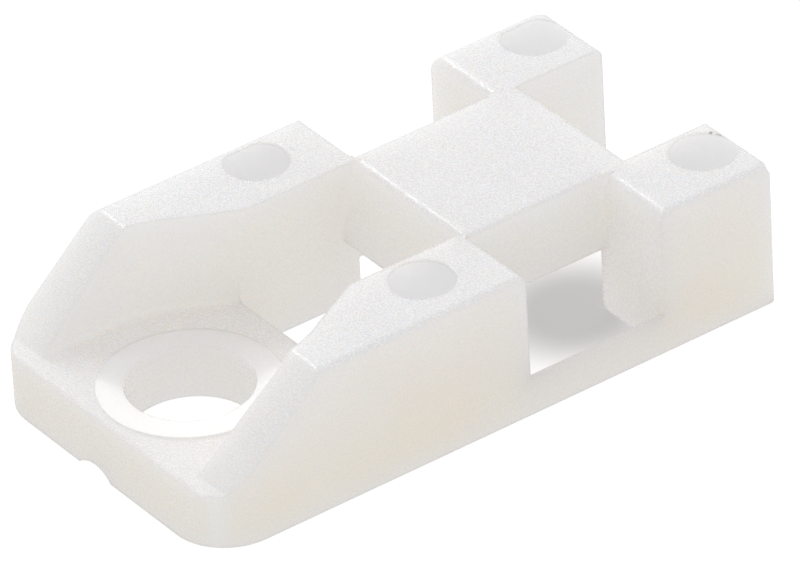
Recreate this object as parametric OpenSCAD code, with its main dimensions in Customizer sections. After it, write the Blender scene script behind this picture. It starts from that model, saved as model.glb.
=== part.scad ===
// Cable tie mount: one nylon moulding, held by a screw, that takes a tie under a bridge.
//
// The origin is on the axis of the screw hole, on the mounting face. +X runs from the screw
// seat to the rear posts, +Y across the mount and +Z away from the panel.
// A rounded, drafted block is cut open by the screw pocket, the tie channel and the tie slot.
// What is left is a U of two walls round the screw seat, two rear posts, the two low side rails
// that join them to the walls, and the bridge.

/* [Body] */
// Height from the mounting face to the top
body_height = 6.78; // [5.8:0.02:9]
// Width across the two sides at the mounting face
body_width = 15.9; // [14.5:0.1:22]
// Draft of the two sides, in degrees
side_draft = 0.35; // [0:0.05:1.5]
// Radius of the upright corners at the front
front_corner_r = 2.6; // [0.6:0.1:3.6]
// Radius of the upright corners at the rear
rear_corner_r = 0.35; // [0.1:0.05:1]
// Radius along the outer top edges
top_edge_r = 0.45; // [0.1:0.05:0.8]

/* [Screw seat] */
// Diameter of the screw hole
hole_d = 5.5; // [3.2:0.1:6.4]
// Distance from the hole's axis to the front face at the base
hole_to_front = 4.7; // [4.2:0.1:8]
// Distance from the hole's axis to the rear edge of the seat
hole_to_seat_rear = 5.1; // [4.4:0.1:7]
// Thickness of the floor under the screw head
seat_thickness = 2.5; // [1.2:0.1:3.6]
// Width of the smooth ring round the hole
ring_width = 1.18; // [0.4:0.02:1.3]
// Height of the ring above the floor
ring_height = 0.08; // [0.04:0.02:0.4]
// Lean of the front face, in degrees
front_draft = 5.5; // [0:0.5:10]
// Radius along the top edge of the front face
front_edge_r = 0.4; // [0.05:0.05:0.8]

/* [Screw pocket] */
// Radius of the pocket at the floor
pocket_r = 5.52; // [5:0.02:6.4]
// Draft of the pocket's walls, in degrees
pocket_draft = 5; // [0:0.5:8]
// Angle in plan at which the pocket narrows to the channel
flare_angle = 28; // [20:1:45]
// Radius where the pocket's walls meet the floor
pocket_foot_r = 0.22; // [0.05:0.01:0.6]
// Slope of the walls' front ends, in degrees
ramp_angle = 42; // [35:1:60]
// Distance from the front face at the base to the foot of the slope
ramp_setback = 1.09; // [0.6:0.01:3]
// Radius at the top of the slope
ramp_top_r = 0.5; // [0.1:0.05:1.5]

/* [Walls and posts] */
// Length from the front face at the base to the walls' rear faces
wall_length = 16.18; // [15:0.1:24]
// Length of the rear posts
post_length = 5.85; // [4.4:0.05:10]
// Gap between the rear posts
post_gap = 7.34; // [5.5:0.02:8.4]
// Radius along the posts' front top edges
post_nose_r = 0.7; // [0.2:0.05:1.4]
// Radius along the walls' rear top edges
wall_rear_r = 0.2; // [0.05:0.05:0.6]

/* [Tie channel and bridge] */
// Width of the channel from the seat to the bridge
channel_width = 7.2; // [5.5:0.1:8.4]
// Radius of the upright edges where the channel opens into the slot
channel_end_r = 0.45; // [0.1:0.05:1]
// Width of the slot for the tie, from the walls to the posts
slot_width = 6.97; // [4.2:0.01:12]
// Thickness of the bridge
bridge_thickness = 3.58; // [1.6:0.02:3.9]
// Width by which the bridge laps each side of the widest gap it spans
bridge_lap = 0.35; // [0.1:0.01:1.2]
// Distance by which the bridge's top starts ahead of the walls' rear faces
bridge_lead = 0.18; // [0.05:0.01:1]
// Forward lean of the bridge's front face towards its underside, in degrees
bridge_lean = 13.4; // [0:0.2:25]
// Length of the bridge between the posts
bridge_tail = 1.52; // [0.8:0.02:2.4]
// Radius along the bridge's front top edge
bridge_nose_r = 0.55; // [0.1:0.05:1]
// Radius along the bridge's side and rear top edges
bridge_edge_r = 0.3; // [0.05:0.05:0.8]

/* [Side rails] */
// Height of the side rails
rail_height = 1.85; // [0.8:0.05:2.4]
// Width of the flat along the top of a rail
rail_land = 0.15; // [0.1:0.01:1]
// Slope of a rail's inner face, in degrees
rail_slope = 46.5; // [40:0.5:80]

/* [Moulding marks] */
// Diameter of the round ejector marks
ejector_d = 2.85; // [1:0.05:3.4]
// Depth of the ejector marks
ejector_depth = 0.06; // [0.02:0.01:0.2]
// Distance from the walls' rear faces to the ejector marks on them
ejector_wall_inset = 3.28; // [2:0.02:3.6]
// Distance from the posts' rear faces to the ejector marks on them
ejector_post_inset = 1.6; // [1.5:0.02:2.6]
// Width of the gate notch at the foot of the front face
gate_width = 2.2; // [0.8:0.1:3]
// Height of the gate notch
gate_height = 0.4; // [0.1:0.05:0.8]
// Distance that the gate notch reaches into the floor
gate_reach = 0.7; // [0.3:0.1:1.4]
// Sideways offset of the gate notch from the middle
gate_offset = 0.4; // [-2:0.1:2]

/* [Hidden] */
$fn = 96;
overcut = 1;          // how far each cutter runs past the block
corner_overcut = 0.2; // how far a corner's cutter reaches past the corner
flare_inset = 0.03;   // how far the flare's walls cut into the round of the pocket

front_x = -hole_to_front;
wall_rear_x = front_x + wall_length;
post_front_x = wall_rear_x + slot_width;
slot_middle_x = wall_rear_x + slot_width / 2;
rear_x = post_front_x + post_length;
top_z = body_height;

front_top_x = front_x + seat_thickness * tan(front_draft);
ramp_foot_x = front_x + ramp_setback;
ramp_top_x = ramp_foot_x + (top_z - seat_thickness) / tan(ramp_angle);

channel_half = channel_width / 2;
post_gap_half = post_gap / 2;
bridge_half = max(channel_half, post_gap_half) + bridge_lap;
bridge_z = top_z - bridge_thickness;
bridge_front_x = wall_rear_x - bridge_lead;
bridge_foot_x = bridge_front_x - bridge_thickness * tan(bridge_lean);
bridge_rear_x = post_front_x + bridge_tail;

pocket_mouth_r = pocket_r + (top_z + overcut - seat_thickness) * tan(pocket_draft);
pocket_top_r = pocket_r + (top_z - seat_thickness) * tan(pocket_draft);
// Where the flare of the pocket's mouth leaves the round, and where it has narrowed to the channel
flare_start_x = (pocket_r + pocket_top_r) / 2 * sin(flare_angle);
flare_end_x = (pocket_top_r - flare_inset - channel_half * cos(flare_angle)) / sin(flare_angle);

// Half the width across the sides at height z
function side_y(z) = body_width / 2 - z * tan(side_draft);

// The area between a corner and the arc of radius r that touches both of its edges, which leave
// it in the directions a1 and a2. Taken away it rounds a corner, added it fills one.
module corner_area(corner, a1, a2, r) {
    half = abs(a2 - a1) / 2;
    middle = [cos((a1 + a2) / 2), sin((a1 + a2) / 2)];
    centre = corner + r / sin(half) * middle;
    reach = r / tan(half);
    difference() {
        polygon([
            corner - corner_overcut * middle,
            corner + reach * [cos(a1), sin(a1)],
            centre,
            corner + reach * [cos(a2), sin(a2)]
        ]);
        translate(centre) circle(r);
    }
}

// Draws its child, whose axes are Y and Z, as a prism along X from x1 to x2
module along_x(x1, x2) {
    translate([x1, 0, 0]) rotate([90, 0, 90]) linear_extrude(x2 - x1) children();
}

// Draws its child, whose axes are X and Z, as a prism along Y from y1 to y2
module along_y(y1, y2) {
    translate([0, y2, 0]) rotate([90, 0, 0]) linear_extrude(y2 - y1) children();
}

// Draws its child and the child's mirror image on the other side of the mount
module both_sides() {
    for (side = [0, 1]) mirror([0, side, 0]) children();
}

// Plan of the block, X and Y
module plan_area() {
    half = body_width / 2;
    difference() {
        translate([front_x, -half]) square([rear_x - front_x, body_width]);
        for (side = [0, 1]) mirror([0, side]) {
            corner_area([front_x, half], 0, -90, front_corner_r);
            corner_area([rear_x, half], 180, 270, rear_corner_r);
        }
    }
}

// Side view of the block, X and Z, with the sloping front ends of the walls
module side_area() {
    difference() {
        union() {
            polygon([
                [front_x, 0],
                [front_top_x, seat_thickness],
                [ramp_foot_x, seat_thickness],
                [ramp_top_x, top_z],
                [rear_x, top_z],
                [rear_x, 0]
            ]);
            corner_area([ramp_foot_x, seat_thickness], 180, ramp_angle, pocket_foot_r);
        }
        corner_area([front_top_x, seat_thickness], 0, -90 - front_draft, front_edge_r);
        corner_area([ramp_top_x, top_z], 0, ramp_angle - 180, ramp_top_r);
        corner_area([rear_x, top_z], 180, 270, rear_corner_r);
    }
}

// End view of the block, Y and Z, with drafted sides and soft top edges
module end_area() {
    difference() {
        polygon([
            [-side_y(0), 0],
            [side_y(0), 0],
            [side_y(top_z), top_z],
            [-side_y(top_z), top_z]
        ]);
        for (side = [0, 1]) mirror([side, 0]) {
            corner_area([side_y(top_z), top_z], 180, 270 + side_draft, top_edge_r);
        }
    }
}

module block() {
    intersection() {
        translate([0, 0, -overcut]) linear_extrude(top_z + 2 * overcut) plan_area();
        along_y(-body_width, body_width) side_area();
        along_x(front_x - overcut, rear_x + overcut) end_area();
    }
}

// Section of the screw pocket, drawn as the space that it takes
module pocket_area(inset = 0) {
    difference() {
        polygon([
            [inset - pocket_r, seat_thickness],
            [pocket_r - inset, seat_thickness],
            [pocket_mouth_r - inset, top_z + overcut],
            [inset - pocket_mouth_r, top_z + overcut]
        ]);
        for (side = [0, 1]) mirror([side, 0]) {
            corner_area([pocket_r - inset, seat_thickness], 180, 90 - pocket_draft, pocket_foot_r);
        }
    }
}

// The pocket is round at the screw, open to the front, and narrows to the channel behind it
module screw_pocket() {
    rotate_extrude() intersection() {
        pocket_area();
        square([pocket_mouth_r + overcut, top_z + 2 * overcut]);
    }
    along_x(front_x - overcut, 0) pocket_area();
    intersection() {
        rotate([0, 0, flare_angle]) along_x(-pocket_r, rear_x) pocket_area(flare_inset);
        rotate([0, 0, -flare_angle]) along_x(-pocket_r, rear_x) pocket_area(flare_inset);
        translate([flare_start_x, -pocket_mouth_r, 0])
            cube([flare_end_x - flare_start_x, 2 * pocket_mouth_r, top_z + 2 * overcut]);
    }
}

// Side view of the bridge, X and Z
module bridge_side_area() {
    difference() {
        polygon([
            [bridge_foot_x, bridge_z],
            [bridge_front_x, top_z],
            [bridge_rear_x, top_z],
            [bridge_rear_x, bridge_z]
        ]);
        corner_area([bridge_front_x, top_z], 0, -90 - bridge_lean, bridge_nose_r);
        corner_area([bridge_rear_x, top_z], 180, 270, bridge_edge_r);
    }
}

// End view of the bridge, Y and Z
module bridge_end_area() {
    difference() {
        translate([-bridge_half, bridge_z]) square([2 * bridge_half, bridge_thickness]);
        for (side = [0, 1]) mirror([side, 0]) {
            corner_area([bridge_half, top_z], 180, 270, bridge_edge_r);
        }
    }
}

// End view of one side rail, Y and Z: upright outside, sloping down inside
module rail_area() {
    land_y = side_y(rail_height) - rail_land;
    polygon([
        [body_width, 0],
        [body_width, rail_height],
        [land_y, rail_height],
        [land_y - rail_height / tan(rail_slope), 0],
        [land_y - rail_height / tan(rail_slope), -2 * overcut],
        [body_width, -2 * overcut]
    ]);
}

// The slot that the tie crosses, with the bridge left over it and a rail at each side
module tie_slot() {
    along_x(wall_rear_x, post_front_x) difference() {
        translate([-body_width, -overcut]) square([2 * body_width, top_z + 2 * overcut]);
        bridge_end_area();
        for (side = [0, 1]) mirror([side, 0]) rail_area();
    }
    both_sides() along_y(bridge_half, body_width) {
        corner_area([wall_rear_x, top_z], 180, 270, wall_rear_r);
        corner_area([post_front_x, top_z], 0, -90, post_nose_r);
    }
}

// The channel behind the screw seat and the gap between the posts, under and round the bridge
module tie_channel() {
    difference() {
        union() {
            translate([hole_to_seat_rear, -channel_half, -overcut])
                cube([slot_middle_x - hole_to_seat_rear, channel_width, top_z + 2 * overcut]);
            translate([slot_middle_x, -post_gap_half, -overcut])
                cube([rear_x + overcut - slot_middle_x, post_gap, top_z + 2 * overcut]);
            translate([0, 0, -overcut]) linear_extrude(bridge_z + overcut)
                for (side = [0, 1]) mirror([0, side])
                    corner_area([wall_rear_x, channel_half], 180, 90, channel_end_r);
        }
        along_y(-body_width, body_width) bridge_side_area();
    }
}

// The lower part of a cylinder along X, whose chord and height are the gate notch's
module gate_notch() {
    r = (pow(gate_width / 2, 2) + pow(gate_height, 2)) / (2 * gate_height);
    translate([front_x - overcut, gate_offset, gate_height - r])
        rotate([0, 90, 0]) cylinder(r = r, h = overcut + gate_reach);
}

module ejector_mark(x, y) {
    translate([x, y, top_z - ejector_depth]) cylinder(d = ejector_d, h = ejector_depth + overcut);
}

module mount_body() {
    color([0.93, 0.92, 0.89]) difference() {
        union() {
            difference() {
                block();
                screw_pocket();
                tie_slot();
                tie_channel();
            }
            translate([0, 0, seat_thickness / 2])
                cylinder(r = hole_d / 2 + ring_width, h = seat_thickness / 2 + ring_height);
        }
        translate([0, 0, -overcut]) cylinder(d = hole_d, h = seat_thickness + ring_height + 2 * overcut);
        gate_notch();
        both_sides() {
            ejector_mark(wall_rear_x - ejector_wall_inset, (channel_half + side_y(top_z)) / 2);
            ejector_mark(rear_x - ejector_post_inset, (post_gap_half + side_y(top_z)) / 2);
        }
    }
}

mount_body();
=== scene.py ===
"""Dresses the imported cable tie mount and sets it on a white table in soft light.

The moulding is one piece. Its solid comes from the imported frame, and a copy of it gets the softened
edges, the mould texture, the polished ring, the ejector marks and the scuffs of the real thing.
"""

from __future__ import annotations

import logging
import math
from collections.abc import Mapping
from dataclasses import dataclass
from enum import Enum
from typing import Union

import bmesh
import bpy
from mathutils import Matrix, Vector

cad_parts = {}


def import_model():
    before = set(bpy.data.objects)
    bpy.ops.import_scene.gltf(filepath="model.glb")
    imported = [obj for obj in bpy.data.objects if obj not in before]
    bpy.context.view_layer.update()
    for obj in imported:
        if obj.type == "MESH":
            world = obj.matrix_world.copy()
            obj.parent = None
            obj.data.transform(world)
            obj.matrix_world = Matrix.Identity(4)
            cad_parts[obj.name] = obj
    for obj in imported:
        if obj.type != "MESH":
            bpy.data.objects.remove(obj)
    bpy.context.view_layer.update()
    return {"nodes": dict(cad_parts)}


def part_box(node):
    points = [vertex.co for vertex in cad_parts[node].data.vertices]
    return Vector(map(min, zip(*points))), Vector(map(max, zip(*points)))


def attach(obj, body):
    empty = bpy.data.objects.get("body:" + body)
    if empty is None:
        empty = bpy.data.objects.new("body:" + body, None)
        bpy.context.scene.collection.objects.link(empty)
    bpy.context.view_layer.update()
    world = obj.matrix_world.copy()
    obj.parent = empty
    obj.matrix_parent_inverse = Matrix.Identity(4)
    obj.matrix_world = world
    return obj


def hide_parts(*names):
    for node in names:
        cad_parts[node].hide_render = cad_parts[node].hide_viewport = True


log = logging.getLogger("cable_tie_mount")

MM = 0.001
NODE = "mount_body"
BODY = "root"

Band = tuple[float, float]
Colour = tuple[float, float, float]
Place = tuple[float, float, float]
Socket = bpy.types.NodeSocket
Value = Union[Socket, float, tuple]

WHITE: Colour = (1.0, 1.0, 1.0)


class Finish(Enum):
    """The finishes on the moulding, in the order of its material slots."""

    MOULDED = 0
    POLISHED = 1
    EJECTOR = 2


# --------------------------------------------------------------------------------------
# Shader helpers
# --------------------------------------------------------------------------------------


def rgba(colour: Colour) -> tuple[float, float, float, float]:
    """The colour with full alpha."""
    return (*colour, 1.0)


@dataclass(frozen=True)
class Graph:
    """A node tree that is being filled, with short calls for what the finishes use."""

    tree: bpy.types.NodeTree

    def node(self, kind: str, **values: object) -> bpy.types.Node:
        """Adds a node.

        Args:
            kind: the node's type name.
            **values: attributes of the node, such as its operation.

        Returns:
            The new node.
        """
        made = self.tree.nodes.new(kind)
        for name, value in values.items():
            setattr(made, name, value)
        return made

    def link(self, source: Value, target: Socket) -> None:
        """Joins an output to an input, or sets the input where the source is a plain value.

        Args:
            source: the output or the plain value.
            target: the input.
        """
        if isinstance(source, Socket):
            self.tree.links.new(source, target)
        else:
            target.default_value = source

    def fill(self, node: bpy.types.Node, values: Mapping[str, Value]) -> None:
        """Joins or sets a node's inputs by their names.

        Args:
            node: the node.
            values: the outputs or plain values, by the names of the inputs.
        """
        for name, value in values.items():
            self.link(value, node.inputs[name])

    def math(self, operation: str, a: Value, b: Value = 0.0, clamp: bool = False) -> Socket:
        """Adds a Math node.

        Args:
            operation: the sum, such as MULTIPLY.
            a: the first output or number.
            b: the second output or number.
            clamp: whether the result is kept from 0 to 1.

        Returns:
            The result's output.
        """
        made = self.node("ShaderNodeMath", operation=operation, use_clamp=clamp)
        self.link(a, made.inputs[0])
        self.link(b, made.inputs[1])
        return made.outputs[0]

    def ramp(self, value: Value, band: Band, to_low: float = 0.0, to_high: float = 1.0) -> Socket:
        """Maps a value smoothly from a band to a range, from 0 to 1 where none is given.

        Args:
            value: the output to map.
            band: where the change starts and ends.
            to_low: the result up to the band's start.
            to_high: the result from the band's end.

        Returns:
            The result's output.
        """
        made = self.node("ShaderNodeMapRange", interpolation_type="SMOOTHSTEP")
        ends = {"From Min": band[0], "From Max": band[1], "To Min": to_low, "To Max": to_high}
        self.fill(made, {"Value": value, **ends})
        return made.outputs["Result"]

    def mix(self, factor: Value, a: Value, b: Value, blend: str = "MIX") -> Socket:
        """Mixes two colours.

        Args:
            factor: the share of the second colour.
            a: the first colour or output.
            b: the second colour or output.
            blend: the way to blend them.

        Returns:
            The mixed colour's output.
        """
        made = self.node("ShaderNodeMix", data_type="RGBA", blend_type=blend)
        self.link(factor, made.inputs[0])
        self.link(a, made.inputs[6])
        self.link(b, made.inputs[7])
        return made.outputs[2]

    def noise(self, place: Socket, scale: float, detail: float) -> Socket:
        """Adds a noise texture.

        Args:
            place: the coordinates' output.
            scale: the noise's scale in cells for each metre.
            detail: how many octaves it has.

        Returns:
            The noise value's output.
        """
        made = self.node("ShaderNodeTexNoise")
        self.fill(made, {"Vector": place, "Scale": scale, "Detail": detail})
        return made.outputs["Fac"]

    def split(self, vector: Socket) -> Mapping[str, Socket]:
        """Parts a vector.

        Args:
            vector: the vector's output.

        Returns:
            The outputs X, Y and Z.
        """
        made = self.node("ShaderNodeSeparateXYZ")
        self.link(vector, made.inputs[0])
        return made.outputs

    def place(self) -> Socket:
        """The piece's own coordinates."""
        return self.node("ShaderNodeTexCoord").outputs["Object"]

    def oval(self, place: Socket, centre: Place, half: Place, turn: float = 0.0) -> Socket:
        """Measures how far the surface is from the centre of an oval.

        Args:
            place: the coordinates' output.
            centre: the oval's centre.
            half: its half lengths along its own axes.
            turn: its turn about the upright axis, in degrees.

        Returns:
            The distance's output, 0 at the centre and 1 at the oval's edge.
        """
        local = self.node("ShaderNodeMapping", vector_type="TEXTURE")
        rotation = (0.0, 0.0, math.radians(turn))
        self.fill(local, {"Vector": place, "Location": centre, "Rotation": rotation, "Scale": half})
        reach = self.node("ShaderNodeVectorMath", operation="LENGTH")
        self.link(local.outputs[0], reach.inputs[0])
        return reach.outputs["Value"]


def new_material(name: str) -> tuple[bpy.types.Material, Graph]:
    """Makes an empty node material.

    Args:
        name: the material's name.

    Returns:
        The material and its node tree, ready to fill.
    """
    material = bpy.data.materials.new(name)
    material.use_nodes = True
    material.node_tree.nodes.clear()
    return material, Graph(material.node_tree)


# --------------------------------------------------------------------------------------
# Finishes
# --------------------------------------------------------------------------------------


@dataclass(frozen=True)
class Surface:
    """What the skin reads of the surface at a point.

    Attributes:
        place: the piece's own coordinates.
        at: their parts.
        normal: the softened normal.
        facing: its parts.
        upward: how far the surface faces up.
        grain: the moulded grain's noise.
        lip: the mask of the rounded top edges that lean to the front.
        polish_and_painted_glint: the flecks on those edges, polished and painted white as a glint.
        painted_sparkle: painted highlight flecks everywhere.
    """

    place: Socket
    at: Mapping[str, Socket]
    normal: Socket
    facing: Mapping[str, Socket]
    upward: Socket
    grain: Socket
    lip: Socket
    polish_and_painted_glint: Socket
    painted_sparkle: Socket


@dataclass(frozen=True)
class SkinGroup:
    """The moulded skin that all finishes share: its tint by height and facing, which is painted
    light, and its grain.
    """

    name: str = "moulded_skin"
    edge_samples: int = 8
    # These bands place the painted light of the tint: by facing, outside the channel and on the
    # seat's floor.
    top_facing: Band = (0.35, 0.92)
    outer_y: Band = (7.0 * MM, 7.8 * MM)
    outer_x: Band = (3.8 * MM, 4.4 * MM)
    seat_band: Band = (2.7 * MM, 4.5 * MM)
    seat_share: float = 0.45
    cloud_scale: float = 240.0
    cloud_detail: float = 3.0
    cloud_band: Band = (0.3, 0.7)
    cloud_low: float = 0.975
    grain_scale: float = 14500.0
    grain_detail: float = 1.0
    grain_height: float = 0.03 * MM
    grain_facing: Band = (0.1, 0.8)
    side_grain: float = 0.05
    pit_band: Band = (0.36, 0.6)
    pit_depth: float = 0.05
    rough_band: Band = (0.3, 0.7)
    rough_swing: float = 0.10
    # The sparkle and lip bands place the painted highlight flecks and the painted glint on the front
    # lips.
    sparkle_scale: float = 13000.0
    sparkle_detail: float = 0.0
    sparkle_band: Band = (0.50, 0.68)
    lip_start: Band = (0.10, 0.26)
    lip_end: Band = (0.46, 0.60)
    lip_facing: Band = (0.70, 0.82)
    lip_above: Band = (4.6 * MM, 5.4 * MM)
    lip_band: Band = (0.44, 0.60)
    lip_polish: float = 0.13
    lip_grain: float = 0.38

    def build(self) -> bpy.types.NodeTree:
        """Builds the group once.

        Returns:
            The group. The colours, the foot's height, the edges' radius, the grain, the sparkle
            and the roughness go in, and the colour, roughness and normal come out.
        """
        tree = self._tree()
        g = Graph(tree)
        given = g.node("NodeGroupInput").outputs
        result = g.node("NodeGroupOutput")
        surface = self._surface(g, given["Edge Radius"])
        g.fill(
            result,
            {
                "Colour": self._colour(g, given, surface),
                "Roughness": self._roughness(g, given, surface),
                "Normal": self._normal(g, given, surface),
            },
        )
        return tree

    def _tree(self) -> bpy.types.NodeTree:
        """Makes the empty group with its inputs and outputs.

        Returns:
            The group.
        """
        tree = bpy.data.node_groups.new(self.name, "ShaderNodeTree")
        for label in ("Top", "Side", "Foot", "Inner"):
            tree.interface.new_socket(name=label, in_out="INPUT", socket_type="NodeSocketColor")
        for label in ("Foot Height", "Edge Radius", "Grain", "Sparkle", "Roughness"):
            tree.interface.new_socket(name=label, in_out="INPUT", socket_type="NodeSocketFloat")
        for label, kind in (
            ("Colour", "NodeSocketColor"),
            ("Roughness", "NodeSocketFloat"),
            ("Normal", "NodeSocketVector"),
        ):
            tree.interface.new_socket(name=label, in_out="OUTPUT", socket_type=kind)
        return tree

    def _surface(self, g: Graph, edge_radius: Socket) -> Surface:
        """Reads the surface, with its edges softened.

        Args:
            g: the group's graph.
            edge_radius: the radius to which the edges are softened.

        Returns:
            What the other methods read of it.
        """
        place = g.place()
        at = g.split(place)
        rounded = g.node("ShaderNodeBevel", samples=self.edge_samples)
        g.link(edge_radius, rounded.inputs["Radius"])
        normal = rounded.outputs[0]
        facing = g.split(normal)
        flakes = g.noise(place, self.sparkle_scale, self.sparkle_detail)
        lip = self._front_lip(g, facing, at)
        return Surface(
            place=place,
            at=at,
            normal=normal,
            facing=facing,
            upward=g.ramp(facing["Z"], self.top_facing),
            grain=g.noise(place, self.grain_scale, self.grain_detail),
            lip=lip,
            # On the front lips the flecks are polished and painted white as a glint of the key light.
            polish_and_painted_glint=g.math("MULTIPLY", lip, g.ramp(flakes, self.lip_band)),
            painted_sparkle=g.ramp(flakes, self.sparkle_band),
        )

    def _front_lip(
        self, g: Graph, facing: Mapping[str, Socket], at: Mapping[str, Socket]
    ) -> Socket:
        """Masks the rounded top edges that lean to the front, where a glint is painted on and the
        grain is polished.

        Args:
            g: the group's graph.
            facing: the parts of the normal.
            at: the parts of the place.

        Returns:
            The mask's output.
        """
        lean = g.math("SUBTRACT", 0.0, facing["X"])
        start = g.ramp(lean, self.lip_start)
        end = g.ramp(lean, self.lip_end, 1.0, 0.0)
        level = g.ramp(facing["Z"], self.lip_facing)
        upper = g.ramp(at["Z"], self.lip_above)
        return g.math("MULTIPLY", g.math("MULTIPLY", start, end), g.math("MULTIPLY", level, upper))

    def _colour(self, g: Graph, given: Mapping[str, Socket], surface: Surface) -> Socket:
        """Tints the skin: painted light, cool on top, warm at the foot, pale inside, with clouds,
        pits, painted sparkle.

        Args:
            g: the group's graph.
            given: the group's inputs.
            surface: what is read of the surface.

        Returns:
            The colour's output.
        """
        at = surface.at
        # Painted light: cooler on top, warmer towards the foot and paler inside, in place of how the
        # light falls on the nylon and glows through it.
        across = g.ramp(g.math("ABSOLUTE", at["Y"]), self.outer_y)
        along = g.ramp(g.math("SUBTRACT", 0.0, at["X"]), self.outer_x)
        outside = g.math("MAXIMUM", across, along)
        height = g.ramp(g.math("DIVIDE", at["Z"], given["Foot Height"]), (0.0, 1.0))
        walls = g.mix(height, given["Foot"], given["Side"])
        sides = g.mix(outside, given["Inner"], walls)
        # The seat's floor takes less of the top tint, a painted brightening where the far wall
        # darkens the floor.
        raised = g.ramp(at["Z"], self.seat_band, self.seat_share, 1.0)
        painted_light_tint = g.mix(g.math("MULTIPLY", surface.upward, raised), sides, given["Top"])

        clouds = g.noise(surface.place, self.cloud_scale, self.cloud_detail)
        cloudy = g.ramp(clouds, self.cloud_band, self.cloud_low, 1.0)
        textured = g.math("MULTIPLY", surface.upward, given["Sparkle"])
        pits = g.math("MULTIPLY", textured, self.pit_depth)
        pitted = g.math("MULTIPLY", g.ramp(surface.grain, self.pit_band, 1.0, 0.0), pits)
        dimmed = g.mix(1.0, painted_light_tint, g.math("SUBTRACT", cloudy, pitted), "MULTIPLY")

        # Painted highlights: bright flecks on top and a glint on the front lips, mixed towards white.
        painted_sparkle = g.math("MULTIPLY", surface.painted_sparkle, surface.upward)
        painted_glints = g.math("MAXIMUM", painted_sparkle, surface.polish_and_painted_glint)
        sparkle = g.math("MULTIPLY", painted_glints, given["Sparkle"])
        return g.mix(sparkle, dimmed, rgba(WHITE))

    def _roughness(self, g: Graph, given: Mapping[str, Socket], surface: Surface) -> Socket:
        """Lets the roughness swing with the grain, and polishes the front lips.

        Args:
            g: the group's graph.
            given: the group's inputs.
            surface: what is read of the surface.

        Returns:
            The roughness's output.
        """
        swing = g.ramp(surface.grain, self.rough_band, -self.rough_swing, self.rough_swing)
        rough = g.math("ADD", given["Roughness"], swing)
        polish = g.math("MULTIPLY", surface.polish_and_painted_glint, self.lip_polish)
        return g.math("SUBTRACT", rough, polish, clamp=True)

    def _normal(self, g: Graph, given: Mapping[str, Socket], surface: Surface) -> Socket:
        """Raises the grain on the softened normal, most on top and less on the front lips.

        Args:
            g: the group's graph.
            given: the group's inputs.
            surface: what is read of the surface.

        Returns:
            The normal's output.
        """
        facing_grain = g.ramp(surface.facing["Z"], self.grain_facing, self.side_grain, 1.0)
        upper = g.math("MULTIPLY", given["Grain"], facing_grain)
        worn = g.ramp(surface.lip, (0.0, 1.0), 1.0, self.lip_grain)
        bump = g.node("ShaderNodeBump")
        g.fill(
            bump,
            {
                "Distance": self.grain_height,
                "Strength": g.math("MULTIPLY", upper, worn),
                "Height": surface.grain,
                "Normal": surface.normal,
            },
        )
        return bump.outputs["Normal"]


@dataclass(frozen=True)
class Scuff:
    """One small rub mark, an oval on the surface."""

    place: Place
    length: float
    width: float
    turn: float
    depth: float = 0.6 * MM
    fade: Band = (0.5, 1.0)

    def mask(self, g: Graph, place: Socket) -> Socket:
        """Adds the mark's mask.

        Args:
            g: the material's graph.
            place: the coordinates' output.

        Returns:
            The mask's output, 1 inside the mark.
        """
        half = (self.length / 2, self.width / 2, self.depth)
        return g.ramp(g.oval(place, self.place, half, self.turn), self.fade, 1.0, 0.0)


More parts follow.
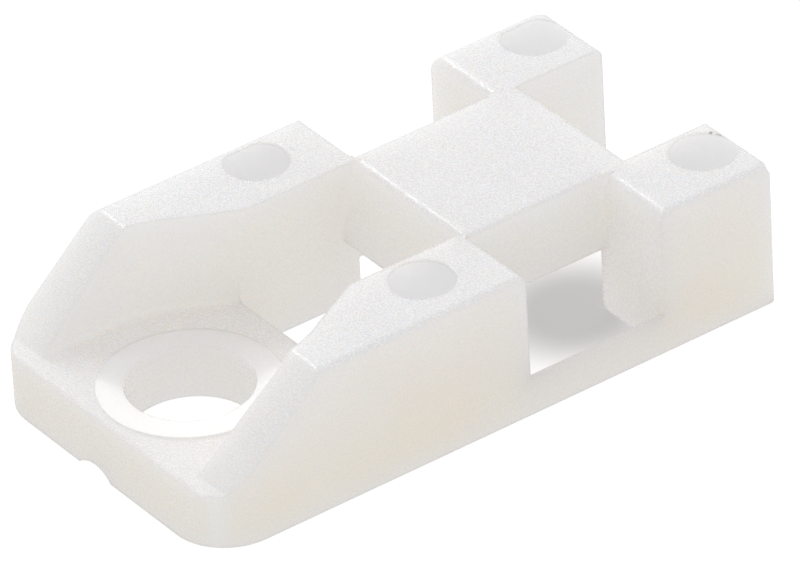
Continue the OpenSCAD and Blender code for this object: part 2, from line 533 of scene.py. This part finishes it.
@dataclass(frozen=True)
class NylonFinish:
    """Natural nylon: milky, textured on top, with painted light in its tints: cool on top, warmer
    down its sides.
    """

    name: str
    # The nylon's colour with painted light laid in: the top, side, foot and inner tints differ by how
    # light falls on it and glows through it.
    top: Colour = (0.825, 0.825, 0.84)
    side: Colour = (0.955, 0.885, 0.84)
    foot: Colour = (0.965, 0.86, 0.775)
    inner: Colour = (0.998, 0.942, 0.898)
    foot_height: float = 5.5 * MM
    edge_radius: float = 0.25 * MM
    roughness: float = 0.27
    grain: float = 1.0
    # The sparkle sets the pits' depth and the share of painted highlight flecks and glint.
    sparkle: float = 0.7
    ior: float = 1.53
    specular: float = 0.5
    coat: float = 0.0
    coat_roughness: float = 0.1
    scatter_depth: float = 5.0 * MM
    scatter_radius: Colour = (1.0, 0.9, 0.8)
    scuffs: tuple[Scuff, ...] = ()
    scuff_colour: Colour = (0.30, 0.29, 0.28)
    scuff_scale: float = 7000.0
    scuff_detail: float = 2.0
    scuff_band: Band = (0.38, 0.62)

    def material(self, skin: bpy.types.NodeTree) -> bpy.types.Material:
        """Builds the material.

        Args:
            skin: the shared skin group.

        Returns:
            The material, whose patterns lie in the piece's own coordinates.
        """
        material, g = new_material(self.name)
        look = g.node("ShaderNodeGroup", node_tree=skin)
        g.fill(
            look,
            {
                "Top": rgba(self.top),
                "Side": rgba(self.side),
                "Foot": rgba(self.foot),
                "Inner": rgba(self.inner),
                "Foot Height": self.foot_height,
                "Edge Radius": self.edge_radius,
                "Grain": self.grain,
                "Sparkle": self.sparkle,
                "Roughness": self.roughness,
            },
        )
        shader = g.node("ShaderNodeBsdfPrincipled")
        g.fill(
            shader,
            {
                "Base Color": self._scuffed(g, look.outputs["Colour"]),
                "Roughness": look.outputs["Roughness"],
                "Normal": look.outputs["Normal"],
                "Specular IOR Level": self.specular,
                "IOR": self.ior,
                "Coat Weight": self.coat,
                "Coat Roughness": self.coat_roughness,
                "Subsurface Weight": 1.0,
                "Subsurface Scale": self.scatter_depth,
                "Subsurface Radius": self.scatter_radius,
            },
        )
        out = g.node("ShaderNodeOutputMaterial")
        g.link(shader.outputs[0], out.inputs["Surface"])
        return material

    def _scuffed(self, g: Graph, colour: Socket) -> Socket:
        """Lays the scuffs over the colour.

        Args:
            g: the material's graph.
            colour: the skin's colour.

        Returns:
            The colour with its scuffs, or as it came where there are none.
        """
        if not self.scuffs:
            return colour
        place = g.place()
        total: Value = 0.0
        for scuff in self.scuffs:
            total = g.math("MAXIMUM", total, scuff.mask(g, place))
        broken = g.ramp(g.noise(place, self.scuff_scale, self.scuff_detail), self.scuff_band)
        return g.mix(g.math("MULTIPLY", total, broken), colour, rgba(self.scuff_colour))


# --------------------------------------------------------------------------------------
# The moulding
# --------------------------------------------------------------------------------------


@dataclass(frozen=True)
class Moulding:
    """The one nylon moulding, with its ejector marks, its rounded corners and its finishes.

    Attributes:
        high: the far corner of the solid's box.
    """

    high: Vector
    ring_radius: float = 3.93 * MM
    ring_above: float = 2.53 * MM
    ring_facing: float = 0.6
    mark_depth: float = 0.06 * MM
    mark_facing: float = 0.9
    mark_shift: float = 0.50 * MM
    mark_land: float = 0.04 * MM
    corner_radius: float = 0.50 * MM
    corner_draft: float = 0.04 * MM
    weld: float = 0.001 * MM
    level_slack: float = 0.005 * MM
    flat_angle: float = math.radians(0.5)
    sharp_angle: float = math.radians(24)
    area_weight: int = 50

    def build(self, solid: bpy.types.Object) -> bpy.types.Object:
        """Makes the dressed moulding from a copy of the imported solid.

        Args:
            solid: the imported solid.

        Returns:
            The finished piece, at the origin.
        """
        mesh = bpy.data.meshes.new("nylon_moulding")
        shape = self._marks_moved(self._merged(solid))
        self._round_corners(shape)
        self._shade_smooth(shape)
        self._assign(shape)
        shape.to_mesh(mesh)
        shape.free()
        piece = bpy.data.objects.new("nylon_moulding", mesh)
        bpy.context.scene.collection.objects.link(piece)
        skin = SkinGroup().build()
        finishes = self.finishes()
        for finish in Finish:
            mesh.materials.append(finishes[finish].material(skin))
        weighted = piece.modifiers.new("even_shading", "WEIGHTED_NORMAL")
        weighted.mode = "FACE_AREA"
        weighted.weight = self.area_weight
        weighted.keep_sharp = True
        return piece

    def _merged(self, solid: bpy.types.Object) -> bmesh.types.BMesh:
        """Merges a copy of the solid's loose triangles into one skin with whole flat faces.

        Args:
            solid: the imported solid.

        Returns:
            The skin.
        """
        shape = bmesh.new()
        shape.from_mesh(solid.data)
        bmesh.ops.remove_doubles(shape, verts=shape.verts, dist=self.weld)
        bmesh.ops.dissolve_limit(
            shape,
            angle_limit=self.flat_angle,
            use_dissolve_boundaries=False,
            verts=shape.verts,
            edges=shape.edges,
        )
        return shape

    def _marks_moved(self, shape: bmesh.types.BMesh) -> bmesh.types.BMesh:
        """Moves the ejector marks to one side, as far as the flat tops reach, and refills the tops.

        Args:
            shape: the moulding's mesh, which is used up.

        Returns:
            The mesh with its marks moved, or as it came where the tops don't close again.
        """
        moved = shape.copy()
        level = self.high.z - self.weld
        tops = [face for face in moved.faces if all(vert.co.z > level for vert in face.verts)]
        inside = set(tops)
        border = [edge for edge in moved.edges if len(inside.intersection(edge.link_faces)) == 1]
        low = {vert for face in moved.faces if self._at_mark(face) for vert in face.verts}
        linked = {edge.other_vert(vert) for vert in low for edge in vert.link_edges}
        limit = max(vert.co.y for face in tops for vert in face.verts) - self.mark_land
        for vert in low | linked:
            vert.co.y = min(vert.co.y + self.mark_shift, limit)
        bmesh.ops.delete(moved, geom=tops, context="FACES_KEEP_BOUNDARY")
        upward = Vector((0, 0, 1))
        filled = bmesh.ops.triangle_fill(moved, use_beauty=True, edges=border, normal=upward)["geom"]
        bmesh.ops.recalc_face_normals(moved, faces=moved.faces)
        faces = [face for face in filled if isinstance(face, bmesh.types.BMFace)]
        closed = all(edge.is_contiguous for edge in moved.edges)
        if faces and closed and all(face.normal.z > 0.0 for face in faces):
            shape.free()
            return moved
        log.warning("the tops don't close with the ejector marks moved, so the marks stay")
        moved.free()
        return shape

    def _at_mark(self, face: bmesh.types.BMFace) -> bool:
        """Tells whether a face is the floor of an ejector mark.

        Args:
            face: the face.

        Returns:
            Whether it lies level at the marks' depth.
        """
        floor = self.high.z - self.mark_depth
        level = all(abs(vert.co.z - floor) < self.level_slack for vert in face.verts)
        return level and face.normal.z > self.mark_facing

    def _round_corners(self, shape: bmesh.types.BMesh) -> None:
        """Draws the posts' outer top corners in to a ball, where three rounded edges meet.

        Args:
            shape: the moulding's mesh.
        """
        for side in (-1.0, 1.0):
            corner = Vector((self.high.x, side * (self.high.y - self.corner_draft), self.high.z))
            ball = corner - self.corner_radius * Vector((1.0, side, 1.0))
            for normal in (Vector((1, 0, 0)), Vector((0, 1, 0)), Vector((0, 0, 1))):
                everything = shape.verts[:] + shape.edges[:] + shape.faces[:]
                bmesh.ops.bisect_plane(shape, geom=everything, plane_co=ball, plane_no=normal)
            for vert in shape.verts:
                off = vert.co - ball
                beyond = off.x > 0.0 and off.y * side > 0.0 and off.z > 0.0
                if beyond and off.length > self.corner_radius:
                    vert.co = ball + off.normalized() * self.corner_radius

    def _shade_smooth(self, shape: bmesh.types.BMesh) -> None:
        """Marks the edges at which the faces' shading parts, and smooths the faces between them.

        Args:
            shape: the moulding's mesh.
        """
        for edge in shape.edges:
            edge.smooth = edge.calc_face_angle(0.0) < self.sharp_angle
        for face in shape.faces:
            face.smooth = True

    def _assign(self, shape: bmesh.types.BMesh) -> None:
        """Gives the ring round the hole and the ejector marks their own finishes.

        Args:
            shape: the moulding's mesh.
        """
        for face in shape.faces:
            middle = face.calc_center_median()
            on_ring = middle.z > self.ring_above and middle.xy.length < self.ring_radius
            finish = Finish.MOULDED
            if on_ring and face.normal.z > self.ring_facing:
                finish = Finish.POLISHED
            elif self._at_mark(face):
                finish = Finish.EJECTOR
            face.material_index = finish.value

    def finishes(self) -> dict[Finish, NylonFinish]:
        """Sets the finishes, with the scuffs at the posts' rear corners.

        Returns:
            The moulding's finishes.
        """
        chip = Scuff(
            place=(23.85 * MM, -4.38 * MM, 6.78 * MM), length=0.30 * MM, width=0.24 * MM, turn=0.0
        )
        scratch = Scuff(
            place=(24.00 * MM, -4.66 * MM, 6.78 * MM), length=0.62 * MM, width=0.09 * MM, turn=-67.0
        )
        side_rub = Scuff(
            place=(23.55 * MM, 7.72 * MM, 6.70 * MM), length=0.80 * MM, width=0.08 * MM, turn=-10.0
        )
        rear_rub = Scuff(
            place=(24.20 * MM, 6.85 * MM, 6.74 * MM), length=1.10 * MM, width=0.07 * MM, turn=-80.0
        )
        return {
            Finish.MOULDED: NylonFinish(
                "nylon_moulded", scuffs=(chip, scratch, side_rub, rear_rub)
            ),
            Finish.POLISHED: NylonFinish(
                "nylon_polished",
                top=(0.93, 0.93, 0.935),
                edge_radius=0.08 * MM,
                grain=0.1,
                sparkle=0.0,
                roughness=0.18,
                coat=0.6,
            ),
            Finish.EJECTOR: NylonFinish(
                "nylon_ejector",
                top=(0.725, 0.73, 0.75),
                edge_radius=0.05 * MM,
                grain=0.05,
                sparkle=0.0,
                roughness=0.45,
            ),
        }


# --------------------------------------------------------------------------------------
# Table, light and camera
# --------------------------------------------------------------------------------------


@dataclass(frozen=True)
class Lamp:
    """One soft rectangular light that faces the object."""

    name: str
    toward: Place
    size: tuple[float, float]
    power: float
    distance: float = 320.0 * MM

    def build(self, middle: Vector) -> None:
        """Hangs the light.

        Args:
            middle: the point that it faces.
        """
        lamp = bpy.data.lights.new(self.name, "AREA")
        lamp.shape = "RECTANGLE"
        lamp.size, lamp.size_y = self.size
        lamp.energy = self.power
        holder = bpy.data.objects.new(self.name, lamp)
        toward = Vector(self.toward).normalized()
        holder.location = middle + toward * self.distance
        holder.rotation_euler = toward.to_track_quat("Z", "Y").to_euler()
        bpy.context.scene.collection.objects.link(holder)


@dataclass(frozen=True)
class Studio:
    """A lit white table under an even sky, with two soft lights from the far side."""

    table_size: float = 3000.0 * MM
    table_cells: int = 4
    table_gap: float = 0.02 * MM
    table_albedo: Colour = (0.28, 0.28, 0.28)
    table_glow: float = 0.55
    seen_glow: float = 0.30
    # Where the painted shadow under the bridge lies, how far it fades and how deep it is.
    painted_shade_place: Place = (17.4 * MM, -3.0 * MM, 0.0)
    painted_shade_size: Place = (5.4 * MM, 5.2 * MM, 5.0 * MM)
    painted_shade_fade: Band = (0.3, 1.0)
    painted_shade_depth: float = 0.48
    sky: float = 0.72
    lamps: tuple[Lamp, ...] = (
        Lamp("key", toward=(0.0, 0.70, 0.70), size=(60.0 * MM, 40.0 * MM), power=0.12),
        Lamp("fill", toward=(0.47, 0.68, 0.56), size=(200.0 * MM, 120.0 * MM), power=0.14),
    )

    def build(self, middle: Vector) -> None:
        """Builds the table, the sky and the lights.

        Args:
            middle: the middle of the object, which the lights face.
        """
        self._table()
        self._sky()
        for lamp in self.lamps:
            lamp.build(middle)

    def _table(self) -> None:
        """Lays the table, which shows white and keeps the object's shadow."""
        # Besides the object's own faint shadow, the table's material paints a shadow under the
        # bridge.
        shape = bmesh.new()
        cells = self.table_cells
        bmesh.ops.create_grid(shape, x_segments=cells, y_segments=cells, size=self.table_size / 2)
        mesh = bpy.data.meshes.new("table")
        shape.to_mesh(mesh)
        shape.free()
        table = bpy.data.objects.new("table", mesh)
        table.location.z = -self.table_gap
        bpy.context.scene.collection.objects.link(table)
        mesh.materials.append(self._table_material())

    def _table_material(self) -> bpy.types.Material:
        """Builds the table's white, which glows more where it is seen directly, less in an oval of
        painted shadow under the bridge.

        Returns:
            The material.
        """
        material, g = new_material("white_table")
        diffuse = g.node("ShaderNodeBsdfDiffuse")
        g.fill(diffuse, {"Color": rgba(self.table_albedo)})
        # Painted shadow: an oval under the bridge where the table glows less to the camera.
        reach = g.oval(g.place(), self.painted_shade_place, self.painted_shade_size)
        painted_shadow = g.ramp(reach, self.painted_shade_fade, self.painted_shade_depth, 0.0)
        seen = g.node("ShaderNodeLightPath").outputs["Is Camera Ray"]
        extra = g.math("MULTIPLY", seen, g.math("SUBTRACT", self.seen_glow, painted_shadow))
        glow = g.node("ShaderNodeEmission")
        g.fill(glow, {"Color": rgba(WHITE), "Strength": g.math("ADD", extra, self.table_glow)})
        both = g.node("ShaderNodeAddShader")
        g.link(diffuse.outputs[0], both.inputs[0])
        g.link(glow.outputs[0], both.inputs[1])
        out = g.node("ShaderNodeOutputMaterial")
        g.link(both.outputs[0], out.inputs["Surface"])
        return material

    def _sky(self) -> None:
        """Sets the even light of the surroundings, seen as plain white."""
        world = bpy.data.worlds.new("studio")
        bpy.context.scene.world = world
        world.use_nodes = True
        world.node_tree.nodes.clear()
        g = Graph(world.node_tree)
        light = g.node("ShaderNodeBackground")
        g.fill(light, {"Color": rgba(WHITE), "Strength": self.sky})
        white = g.node("ShaderNodeBackground")
        g.fill(white, {"Color": rgba(WHITE), "Strength": 1.0})
        mixed = g.node("ShaderNodeMixShader")
        g.link(g.node("ShaderNodeLightPath").outputs["Is Camera Ray"], mixed.inputs[0])
        g.link(light.outputs[0], mixed.inputs[1])
        g.link(white.outputs[0], mixed.inputs[2])
        out = g.node("ShaderNodeOutputWorld")
        g.link(mixed.outputs[0], out.inputs["Surface"])


@dataclass(frozen=True)
class ViewPoint:
    """A long lens that looks down at the mount from its front corner."""

    azimuth: float = -34.661
    elevation: float = 34.096
    roll: float = -3.367
    distance: float = 450.0 * MM
    lens: float = 489.38
    sensor: float = 36.0
    near: float = 10.0 * MM
    far: float = 20000.0 * MM
    target: Place = (9.5 * MM, 0.0, 3.0 * MM)
    aim_right: float = 1.0067 * MM
    aim_up: float = 0.2633 * MM

    def build(self) -> None:
        """Makes the camera and sets it as the scene's."""
        az, el, roll = (math.radians(angle) for angle in (self.azimuth, self.elevation, self.roll))
        back = Vector((math.sin(az) * math.cos(el), -math.cos(az) * math.cos(el), math.sin(el)))
        right = (-back).cross(Vector((0, 0, 1))).normalized()
        up = right.cross(-back)
        tilted_right = right * math.cos(roll) + up * math.sin(roll)
        tilted_up = up * math.cos(roll) - right * math.sin(roll)
        target = Vector(self.target)
        place = target + back * self.distance
        aim = target + tilted_right * self.aim_right + tilted_up * self.aim_up
        out = (place - aim).normalized()
        side = tilted_up.cross(out).normalized()
        turned = Matrix((side, out.cross(side), out)).transposed().to_4x4()
        data = bpy.data.cameras.new("camera")
        data.lens = self.lens
        data.sensor_width = self.sensor
        data.clip_start = self.near
        data.clip_end = self.far
        camera = bpy.data.objects.new("camera", data)
        camera.matrix_world = Matrix.Translation(place) @ turned
        bpy.context.scene.collection.objects.link(camera)
        bpy.context.scene.camera = camera


def main() -> None:
    """Builds the camera, the moulding and the studio in order."""
    logging.basicConfig(level=logging.INFO, format="%(name)s: %(message)s")
    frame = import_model()
    bpy.context.scene.view_settings.view_transform = "Standard"
    ViewPoint().build()
    log.info("camera in place")

    low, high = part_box(NODE)
    piece = Moulding(high=high).build(frame["nodes"][NODE])
    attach(piece, BODY)
    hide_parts(NODE)
    log.info("moulding has %d faces", len(piece.data.polygons))

    Studio().build((low + high) / 2)
    log.info("table and lights in place")


if __name__ == "__main__":
    main()
